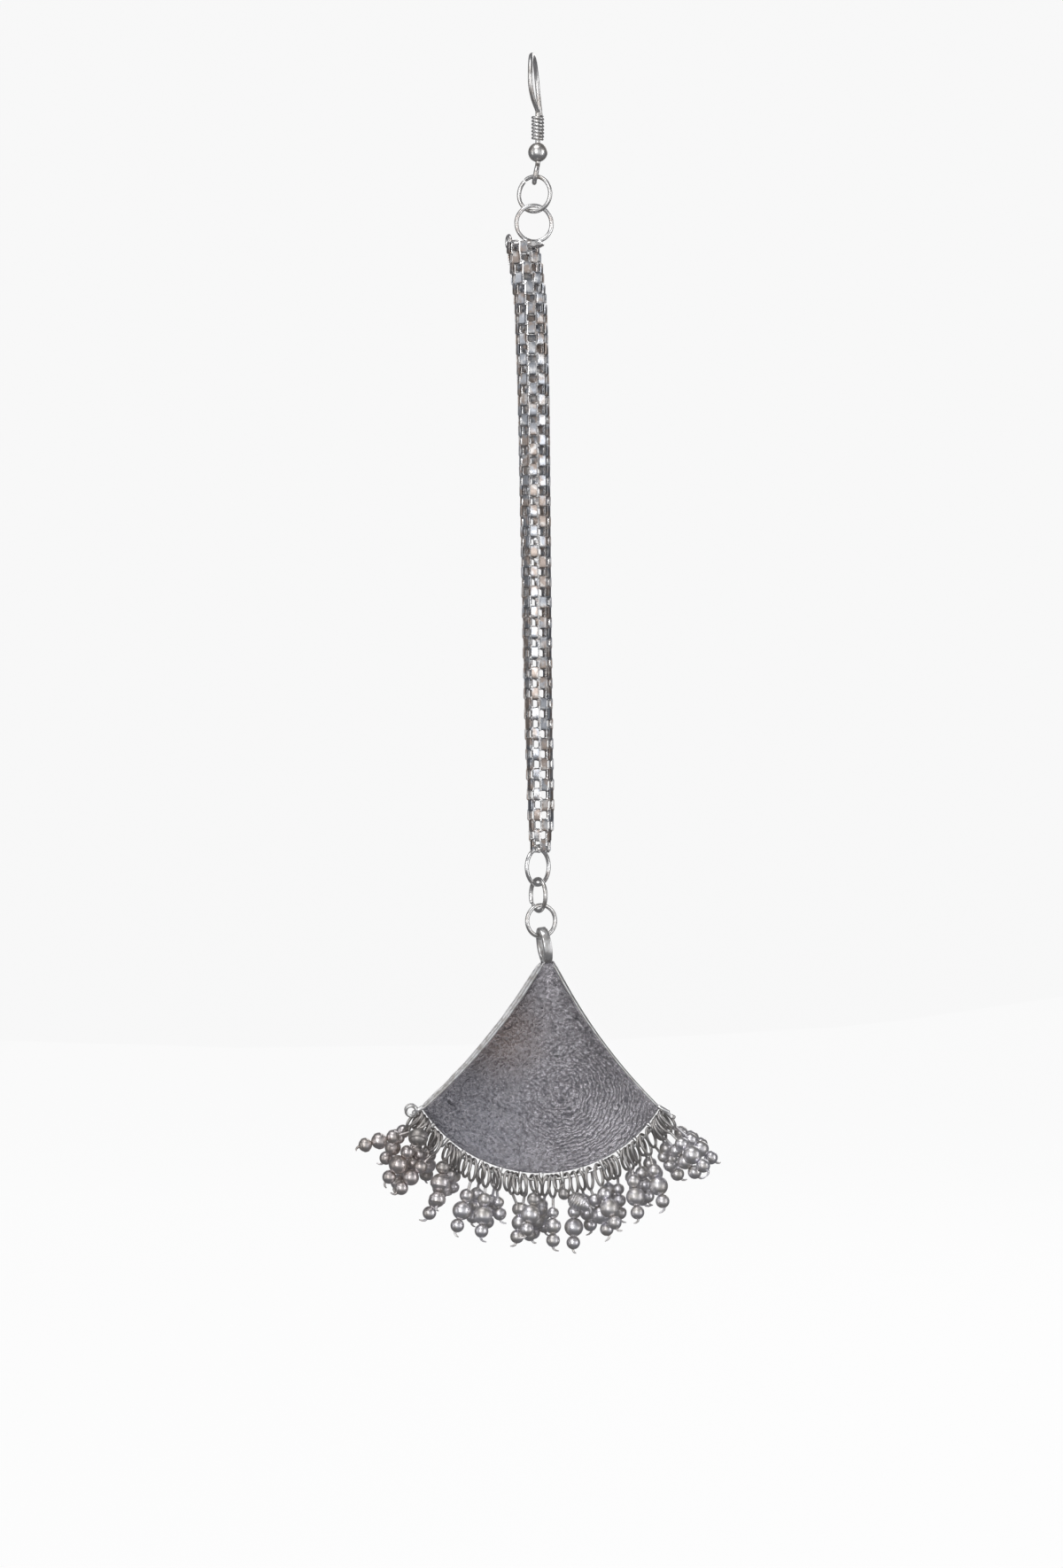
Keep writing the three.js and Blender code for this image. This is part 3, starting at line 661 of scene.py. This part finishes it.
def jump_rings(finish):
    """The loose rings above and below the chain."""
    for name, node, ring, z in [
        ("top_jump_ring", "top_ring", TOP_RING, TOP_RING_Z),
        ("twisted_link", "small_link", SMALL_LINK, SMALL_LINK_Z),
        ("lower_jump_ring", "lower_ring", LOWER_RING, LOWER_RING_Z),
    ]:
        bm = bmesh.new()
        if "cut" in ring:
            cut_ring(bm, ring, z)
        else:
            whole_ring(bm, ring_place(ring, z), ring["radius"], LINK_WIRE)
        piece(name, bm, "chain", finish, [node])


def chain_at(share):
    """The woven tube's middle line and outer radius at a share of its length."""
    after = max(1, next(i for i, row in enumerate(CHAIN_ROUTE) if row["share"] >= share))
    a, b = CHAIN_ROUTE[after - 1], CHAIN_ROUTE[after]
    part = (share - a["share"]) / (b["share"] - a["share"])
    mix = {key: a[key] + part * (b[key] - a[key]) for key in ("x", "width")}
    return mix["x"], mix["width"]


def inset_middle(bm, border):
    """Insets a flat shape's only face by its border, and gives the face left in the middle."""
    bm.faces.ensure_lookup_table()
    bmesh.ops.inset_region(bm, faces=[bm.faces[0]], thickness=border,
                           use_even_offset=True, use_boundary=True)
    return max(bm.faces, key=lambda face: len(face.verts))


def rounded_frame(wide, tall, corner, side, bar):
    """A flat frame in the XZ plane with rounded corners, as the start of a link."""
    bm = bmesh.new()
    corners = [(-wide / 2, -tall / 2), (wide / 2, -tall / 2), (wide / 2, tall / 2), (-wide / 2, tall / 2)]
    bm.faces.new([bm.verts.new((x, 0, z)) for x, z in corners])
    bmesh.ops.bevel(bm, geom=bm.verts[:], offset=corner, offset_type="OFFSET", segments=2,
                    profile=0.5, affect="VERTICES", material=-1)
    inner = inset_middle(bm, bar)
    hole = (wide / 2 - side) / (wide / 2 - bar)
    bmesh.ops.scale(bm, vec=(hole, 1, 1), verts=inner.verts[:])
    bmesh.ops.delete(bm, geom=[inner], context="FACES_ONLY")
    return bm


def thicken(bm, depth, soften, along=(0, 1, 0), segments=1):
    """Gives a flat frame its depth and takes the sharpness off its edges."""
    bmesh.ops.translate(bm, vec=Vector(along) * (-depth / 2), verts=bm.verts)
    grown = bmesh.ops.extrude_face_region(bm, geom=bm.faces[:])
    bmesh.ops.translate(bm, vec=Vector(along) * depth, verts=new_verts(grown))
    bmesh.ops.recalc_face_normals(bm, faces=bm.faces)
    rims = [edge for edge in bm.edges if edge.calc_face_angle(0) > RIGHT_EDGE]
    bmesh.ops.bevel(bm, geom=rims, offset=soften, offset_type="OFFSET", segments=segments,
                    profile=0.5, affect="EDGES", material=-1)


def strip_link():
    """A loop of flat strip standing out from the tube, its face across the front."""
    bm = rounded_frame(STRIP["deep"], STRIP["tall"], STRIP["corner"], STRIP["wall"], STRIP["wall"])
    thicken(bm, STRIP["wide"], STRIP["soften"])
    out = Matrix.Translation((0, -(CHAIN_RADIUS - STRIP["deep"] / 2), 0))
    bmesh.ops.transform(bm, matrix=out @ turned(90, "Z"), verts=bm.verts)
    return mesh_of(bm, "strip_link")


def frame_link():
    """A rounded square facing out, bent to the tube, which the four strips round it hang on."""
    link = FRAME_LINK
    bm = rounded_frame(link["wide"], link["tall"], link["corner"], link["side"], link["bar"])
    thicken(bm, link["deep"], link["soften"])
    middle = CHAIN_RADIUS - STRIP["deep"] / 2
    for vert in bm.verts:
        angle, radius = vert.co.x / middle, middle - vert.co.y
        vert.co.x, vert.co.y = radius * math.sin(angle), -radius * math.cos(angle)
    return mesh_of(bm, "frame_link")


def add_copy(bm, shape, place):
    """Adds one more copy of a shape at its place."""
    start = len(bm.verts)
    bm.from_mesh(shape)
    bm.verts.ensure_lookup_table()
    bmesh.ops.transform(bm, matrix=place, verts=bm.verts[start:])


def lump(bm, spot, size, rough, often=1.6, turn=None):
    """A run of solder: a flattened ball whose surface wanders by up to the roughness."""
    verts = bmesh.ops.create_icosphere(bm, subdivisions=3, radius=1.0)["verts"]
    bmesh.ops.scale(bm, vec=size, verts=verts)
    if turn:
        bmesh.ops.rotate(bm, cent=(0, 0, 0), matrix=turn, verts=verts)
    bmesh.ops.translate(bm, vec=spot, verts=verts)
    for vert in verts:
        vert.co += noise.noise_vector(vert.co * often) * rough


def weave(strips, squares):
    """The woven tube, row by row: strips that stand out, and frames between them."""
    rng = random.Random(7)
    strip, square = strip_link(), frame_link()
    facet = math.pi / LINKS_PER_ROW
    for row in range(CHAIN_ROWS):
        share = (row + FIRST_ROW) / CHAIN_ROWS
        x, width = chain_at(share)
        centre = Matrix.Translation((x, HANG_Y, CHAIN_TOP - share * CHAIN_LENGTH))
        sides = Matrix.Diagonal((width, width, 1, 1))
        twist = CHAIN_TWIST["top"] + (CHAIN_TWIST["bottom"] - CHAIN_TWIST["top"]) * share
        for k in range(LINKS_PER_ROW):
            turn = (2 * k + row % 2) * facet + math.radians(twist)
            for bm, shape, aside in ((strips, strip, 0), (squares, square, facet)):
                jitter = Matrix.Rotation(rng.uniform(-LINK_JITTER, LINK_JITTER), 4, "X")
                spin = Matrix.Rotation(turn + aside, 4, "Z")
                add_copy(bm, shape, centre @ spin @ jitter @ sides)


def chain_end(bm, ring, ring_z, solder, share, height):
    """The ring at one end of the tube, and the solder that holds it."""
    whole_ring(bm, ring_place(ring, ring_z), ring["radius"], LINK_WIRE)
    x = chain_at(share)[0] + solder["x"]
    spot = Vector((x, HANG_Y - solder["front"], height + solder["lift"]))
    lump(bm, spot, (solder["wide"], solder["deep"], solder["tall"]), SOLDER_ROUGHNESS)


def mesh_chain(strip_finish, frame_finish):
    """The woven tube, the rings soldered to its ends and the link that stands proud."""
    strips, squares = bmesh.new(), bmesh.new()
    weave(strips, squares)
    chain_end(squares, CHAIN_TOP_RING, CHAIN_TOP_RING_Z, TOP_SOLDER, 0, CHAIN_TOP - TOP_SOLDER["tall"])
    chain_end(squares, CHAIN_END_RING, CHAIN_END_RING_Z, END_SOLDER, 1, CHAIN_BOTTOM)
    raised = {**RAISED_LINK, "x": chain_at(0)[0] + RAISED_LINK["x"]}
    place = ring_place(raised, CHAIN_TOP + raised["lift"])
    whole_ring(squares, place, raised["radius"], raised["wire"], 24, 10)
    piece("woven_chain", strips, "chain", strip_finish, ["mesh_chain"])
    piece("chain_frames", squares, "chain", frame_finish)


def front_point(across, down):
    """The plate's front face: across runs -1 to 1, down runs 0 at the apex to 1."""
    angle = math.radians(across * ARC_HALF_ANGLE)
    top = Vector((APEX_X + across * APEX_HALF_WIDTH, APEX_Z))
    end = Vector((ARC_X + ARC_RADIUS * math.sin(angle), ARC_Z - ARC_RADIUS * math.cos(angle)))
    ray = end - top
    inward = Vector((ray.y, -ray.x)).normalized()
    point = top + ray * down + inward * (across * SIDE_HOLLOW * 4 * down * (1 - down))
    curl = LEFT_CURL if across < 0 else RIGHT_CURL
    forward = curl * across ** 2 * down ** CURL_POWER + BOTTOM_LIP * down ** 4
    return Vector((point.x, HANG_Y - forward + PLATE_LEAN * (APEX_Z - point.y), point.y))


def plate_point(across, down, through):
    """The same point carried back through the sheet, square to its face."""
    step = 0.02
    low = max(down, step)
    side = front_point(across + step, low) - front_point(across - step, low)
    along = front_point(across, low + step) - front_point(across, low - step / 2)
    normal = side.cross(along).normalized()
    if normal.y < 0:
        normal.negate()
    return front_point(across, down) + normal * (through * SHEET)


def rim_point(angle, out):
    """A point this far out from the rounded edge, midway through the sheet."""
    point = plate_point(angle / ARC_HALF_ANGLE, 1, 0.5)
    point.x += out * math.sin(math.radians(angle))
    point.z -= out * math.cos(math.radians(angle))
    return point


def slot_angle(slot):
    """The angle on the rim, in degrees from its middle, at a number of slots from its left end."""
    return ARC_HALF_ANGLE * (2 * slot / SLOTS - 1)


def fan_sheet(finish):
    """The beaten sheet: a grid laid on the plate's curve, given its thickness and soft edges."""
    columns, rows = 56, 44
    bm = bmesh.new()
    bmesh.ops.create_grid(bm, x_segments=columns, y_segments=rows, size=1.0)
    grown = bmesh.ops.extrude_face_region(bm, geom=bm.faces[:])
    bmesh.ops.translate(bm, vec=(0, 0, 1), verts=new_verts(grown))
    for vert in bm.verts:
        across, down, through = vert.co.x, (1 - vert.co.y) / 2, vert.co.z
        edge = max(abs(across), abs(vert.co.y)) > 0.999
        spot = plate_point(across, down, 0.5 + (through - 0.5) * (SHEET_EDGE if edge else 1.0))
        dent = sum(noise.noise(spot * often) * depth for often, depth in DENTS)
        vert.co = spot + Vector((0, dent, 0)) * (0.0 if edge else 1.0)
    piece("fan_sheet", bm, "pendant", finish, ["fan_plate"])


def edge_wires(finish):
    """The rubbed lines of the sheet's edge: two down the curled left side, one down the right."""
    bm = bmesh.new()
    steps = 60
    shares = [0.01 + 0.985 * i / steps for i in range(steps + 1)]
    for across, through, radius in EDGE_LINES:
        route = [plate_point(across, share, through) for share in shares]
        for point, share in zip(route, shares):
            point += noise.noise_vector(Vector((share * 9, through, across))) * 0.05
        wander = [noise.noise(Vector((share * 14, 5 * through, 2))) for share in shares[2:-2]]
        sizes = [1 + 0.16 * value for value in wander]
        sweep(bm, route, radius, 8, [0.3, 0.7] + sizes + [0.7, 0.3])
    piece("edge_lines", bm, "pendant", finish)


def solder_spots(finish):
    """The two flat patches of solder on the left edge."""
    bm = bmesh.new()
    for across, down, wide, tall in SOLDER_SPOTS:
        centre = plate_point(across, down, 0.0)
        slope = plate_point(across + 0.1, down, 0) - plate_point(across - 0.1, down, 0)
        turn = Vector((1, 0, 0)).rotation_difference(slope).to_matrix()
        lump(bm, centre, (wide, SOLDER_DEPTH, tall), 0.12, 1.7, turn)
    piece("solder_spots", bm, "pendant", finish)


def bail(finish):
    """The upright band that the lower ring passes through."""
    bm = bmesh.new()
    circle = bmesh.ops.create_circle(bm, segments=40, radius=1.0, cap_ends=True)["verts"]
    bmesh.ops.scale(bm, vec=(BAIL_DEPTH / 2, BAIL_HEIGHT / 2, 1), verts=circle)
    inner = inset_middle(bm, BAIL_THICKNESS)
    bmesh.ops.delete(bm, geom=[inner], context="FACES_ONLY")
    thicken(bm, BAIL_WIDTH, BAIL_ROUNDING, (0, 0, 1), 3)
    upright = turned(-BAIL_LEAN, "Y") @ turned(90 + BAIL_TURN, "Z") @ turned(90, "X")
    place = Matrix.Translation((BAIL_X, HANG_Y, BAIL_Z)) @ upright
    bmesh.ops.transform(bm, matrix=place, verts=bm.verts)
    piece("bail", bm, "pendant", finish)


def rim_ladder(finish):
    """The posts along the fan's edge and the wire they carry."""
    bm = bmesh.new()
    steps = 84
    route = [rim_point(ARC_HALF_ANGLE * (2 * i / steps - 1), RIM_OUT) for i in range(steps + 1)]
    sweep(bm, route, RIM_WIRE / 2, 10)
    for slot in range(SLOTS + 1):
        angle = slot_angle(slot)
        start, end = rim_point(angle, -POST_SINK), rim_point(angle, POST_REACH)
        points = [start.lerp(end, share) for share in POST_SHAPE]
        sweep(bm, points, POST_WIRE / 2, 12, list(POST_SHAPE.values()))
    piece("rim_ladder", bm, "pendant", finish)


def bead_profile(radius, top, banded):
    """A round bead with a flat collar at each end, from its top down, and a raised belt if banded."""
    start = math.degrees(math.asin(1 / BEAD_SWELL))
    middle_z = top - radius
    radius = radius * BEAD_SWELL
    if banded:
        belt, edge = BELT["angle"], BELT["angle"] * BELT["edge"]
        profile = arc_profile(radius * BELT["inside"], start, belt, 5, middle_z)
        profile += arc_profile(radius * BELT["outside"], edge, -edge, 4, middle_z)
        profile += arc_profile(radius * BELT["inside"], -belt, -start, 5, middle_z)
    else:
        profile = arc_profile(radius, start, -start, 12, middle_z)
    return [(0, profile[0][1])] + profile + [(0, profile[-1][1])]


def cone_profile(top):
    """A long bead, coiled like a spring, that swells to its shoulder and narrows to a tail."""
    steps = 56
    shoulder = CONE["radius"] - (CONE["ridge"] + STEM_WIRE) / 2
    points = []
    for i in range(steps + 1):
        share = i / steps
        swell = math.sin(math.pi * share ** 0.8) ** 0.75
        ridge = CONE["ridge"] * abs(math.sin(math.pi * CONE["coils"] * share))
        points.append((STEM_WIRE / 2 + (shoulder + ridge) * swell, top - CONE["length"] * share))
    return points


def slot_place(row):
    """Where the top of a ring hangs from the rim wire in its slot, turned as the row says."""
    angle = slot_angle(row["slot"])
    top = (SLOT_HEIGHT + RIM_WIRE) / 2 / math.cos(math.radians(row["hang"] - angle))
    turn = turned(-row["hang"], "Y") @ turned(row["back"], "X")
    return Matrix.Translation(rim_point(angle, RIM_OUT)) @ turn @ Matrix.Translation((0, 0, top))


def drop_ring(bm, place, length, slot):
    """An oval ring of wire with its top at the origin, turned as its slot's rings lie."""
    verts = whole_ring(bm, turned(90, "Y"), 1.0, DROP_WIRE, 28, 10)
    for vert in verts:
        side, across, up = vert.co
        reach = math.hypot(across, up)
        across *= (DROP_RING_WIDTH / 2 + reach - 1) / reach
        up *= (length / 2 + reach - 1) / reach
        vert.co = (side, across, up - length / 2)
    twist = turned(SLOT_TWISTS[int(slot)], "Z")
    bmesh.ops.transform(bm, matrix=place @ twist, verts=verts)


def spur(bm, place, bend):
    """The stem's end below the last bead, nipped flat and bent aside."""
    points = [
        (0, 0, 0.3),
        (0, 0, -0.05),
        (0.12 * bend, -0.1, -0.32),
        (0.5 * bend, -0.2, -0.52),
        (bend, -0.25, -0.6),
    ]
    sweep(bm, [place @ Vector(point) for point in points], STEM_WIRE / 2, 8, [1, 1, 0.85, 0.7, 0.35])


def bead_length(kind):
    """The length that a bead takes up on its stem."""
    return CONE["length"] if kind == "cone" else 2 * BEAD[kind]


def strand(bm, row, number):
    """A ring in its slot, and a stem of beads hanging in the ring."""
    kinds = row["beads"].split()
    length = min(row["link"], DROP_RING_LENGTH)
    place = slot_place(row)
    drop_ring(bm, place, length, row["slot"])
    beads = place @ Matrix.Translation((0, 0, -length)) @ turned(row["hang"] - row["lean"], "Y")
    height = length - row["link"] - DROP_WIRE / 2
    end = height - sum(bead_length(kind) for kind in kinds)
    sweep(bm, [beads @ Vector((0, 0, z)) for z in (0, height, end)], STEM_WIRE / 2, 10)
    for kind in kinds:
        if kind == "cone":
            profile = cone_profile(height)
        else:
            profile = bead_profile(BEAD[kind], height, number in BANDED_DROPS and kind != "tiny")
        spun(bm, profile, beads)
        height -= bead_length(kind)
    bend = SPUR_BENDS[number % len(SPUR_BENDS)]
    spur(bm, beads @ Matrix.Translation((0, 0, height)), bend)


def drop(row, number, finish):
    """One numbered bead drop, as a piece of its own."""
    bm = bmesh.new()
    strand(bm, row, number)
    name = f"drop_{number:02d}"
    piece("bead_" + name, bm, "pendant", finish, [name])


def back_drops(finish):
    """The shorter strands behind the others, as one piece."""
    bm = bmesh.new()
    for number, row in enumerate(BACK_DROPS):
        strand(bm, row, number)
    piece("back_drops", bm, "pendant", finish)


def corner_ends(finish):
    """The wire twisted round the left end of the rim, and the bar with a knob at the right."""
    bm = bmesh.new()
    left = rim_point(-ARC_HALF_ANGLE, POST_REACH / 2)
    steps, turns = 40, 1.8
    points = []
    for i in range(steps + 1):
        angle = math.tau * turns * i / steps
        reach = 0.95 - 0.25 * i / steps
        side = -0.9 - reach * math.cos(angle)
        front = 0.5 * math.sin(angle * 0.6) - 0.2
        points.append(left + Vector((side, front, reach * math.sin(angle))))
    sweep(bm, points, DROP_WIRE / 2, 10, rounded_ends(len(points)))
    right = rim_point(ARC_HALF_ANGLE, 0.1)
    bar = [right + Vector((1.9, 0.1, -1.5)) * share for share in (-0.1, 0, 0.3, 0.6, 0.9, 1)]
    sweep(bm, bar, 0.34, 10, [0.5, 0.9, 1, 0.9, 0.8, 0.6])
    lump(bm, bar[-1], (0.5, 0.45, 0.42), 0.08)
    piece("corner_ends", bm, "pendant", finish)


def bare_rings(finish):
    """The jump rings on the rim wire that carry no beads."""
    bm = bmesh.new()
    for row in BARE_RINGS:
        drop_ring(bm, slot_place(row), row["long"], row["slot"])
    piece("bare_rings", bm, "pendant", finish)


def studio():
    """A pale floor that turns up into a pale wall all round, kept out of the metal's reflections."""
    reach, corner, floor, height = 1.8, 0.5, -0.3, 1.4
    line = [(0, floor), (reach - corner, floor)]
    line += [(reach - corner + corner * math.sin(math.radians(angle)),
              floor + corner - corner * math.cos(math.radians(angle))) for angle in range(10, 91, 10)]
    bm = bmesh.new()
    spun(bm, line + [(reach, height)], Matrix(), 64)
    bmesh.ops.recalc_face_normals(bm, faces=bm.faces)
    bmesh.ops.reverse_faces(bm, faces=bm.faces)
    mesh = mesh_of(bm, "paper_cove")
    mesh.shade_smooth()
    paper = Finish("pale_paper", Base_Color=grey(0.12), Roughness=0.9,
                   Emission_Color=grey(1.0), Emission_Strength=0.9)
    paper.material.cycles.emission_sampling = "NONE"
    mesh.materials.append(paper.material)
    cove = in_scene("paper_cove", mesh)
    cove.visible_glossy = cove.visible_diffuse = cove.visible_shadow = False


def soft_light(name, place, target, size, power):
    """A rectangular lamp that faces its target."""
    light = bpy.data.lights.new(name, "AREA")
    light.shape = "RECTANGLE"
    light.size, light.size_y = size
    light.energy = power
    lamp = in_scene(name, light)
    lamp.location = place
    lamp.rotation_euler = (Vector(target) - Vector(place)).to_track_quat("-Z", "Y").to_euler()


def lights():
    """Windows and panels round the object, and the room's own soft light."""
    middle, fan_corner = (0, 0, -0.13), (0.013, 0, -0.165)
    soft_light("window_left", (-0.45, -0.95, 0.3), middle, (0.3, 0.4), 1.7)
    soft_light("window_right", (0.9, -0.45, 0.0), middle, (0.22, 0.8), 1.8)
    soft_light("left_strip", (-0.8, -0.3, 0.0), middle, (0.2, 0.9), 0.9)
    soft_light("corner_window", (-0.38, -1.13, -0.11), fan_corner, (0.34, 0.1), 1.7)
    soft_light("right_panel", (1.0, -0.8, -0.35), middle, (0.9, 0.9), 1.0)
    soft_light("front_panel", (0.1, -1.5, 0.0), middle, (1.7, 1.7), 4.0)
    soft_light("top_panel", (-0.2, -0.35, 0.75), middle, (0.6, 0.4), 2.4)
    soft_light("back_window", (0.45, 1.0, 0.4), middle, (0.5, 0.5), 1.5)
    soft_light("back_panel", (-0.1, 1.5, 0.0), middle, (1.6, 1.6), 2.8)
    world = bpy.data.worlds.new("studio_air")
    world.use_nodes = True
    air = world.node_tree.nodes["Background"]
    air.inputs["Color"].default_value = (0.5, 0.5, 0.52, 1)
    air.inputs["Strength"].default_value = 0.28
    bpy.context.scene.world = world
    bpy.context.scene.view_settings.view_transform = "Standard"


def camera():
    """Looks level along +Y at the middle of the hanging object."""
    lens, sensor = 100, 36
    middle_x, middle_z, view_height = -0.00027, -0.1126, 0.2425
    cam = bpy.data.cameras.new("camera")
    cam.lens, cam.sensor_width = lens, sensor
    holder = in_scene("camera", cam)
    holder.location = (middle_x, HANG_Y * METRES - view_height * lens / sensor, middle_z)
    holder.rotation_euler = (math.radians(90), 0, 0)
    bpy.context.scene.camera = holder


hook_metal, bead_metal = hook_silver(), bead_silver()
strip_metal, frame_metal = strip_silver(), frame_silver()
fan_metal, edge_metal = fan_silver(), worn_edge()
ear_hook(hook_metal)
hook_coil(hook_metal)
hook_ball(hook_metal)
jump_rings(hook_metal)
mesh_chain(strip_metal, frame_metal)
fan_sheet(fan_metal)
edge_wires(edge_metal)
solder_spots(fan_metal)
bail(edge_metal)
rim_ladder(edge_metal)
bare_rings(bead_metal)
back_drops(bead_metal)
corner_ends(edge_metal)
for number, row in enumerate(DROPS, 1):
    drop(row, number, bead_metal)
studio()
lights()
camera()
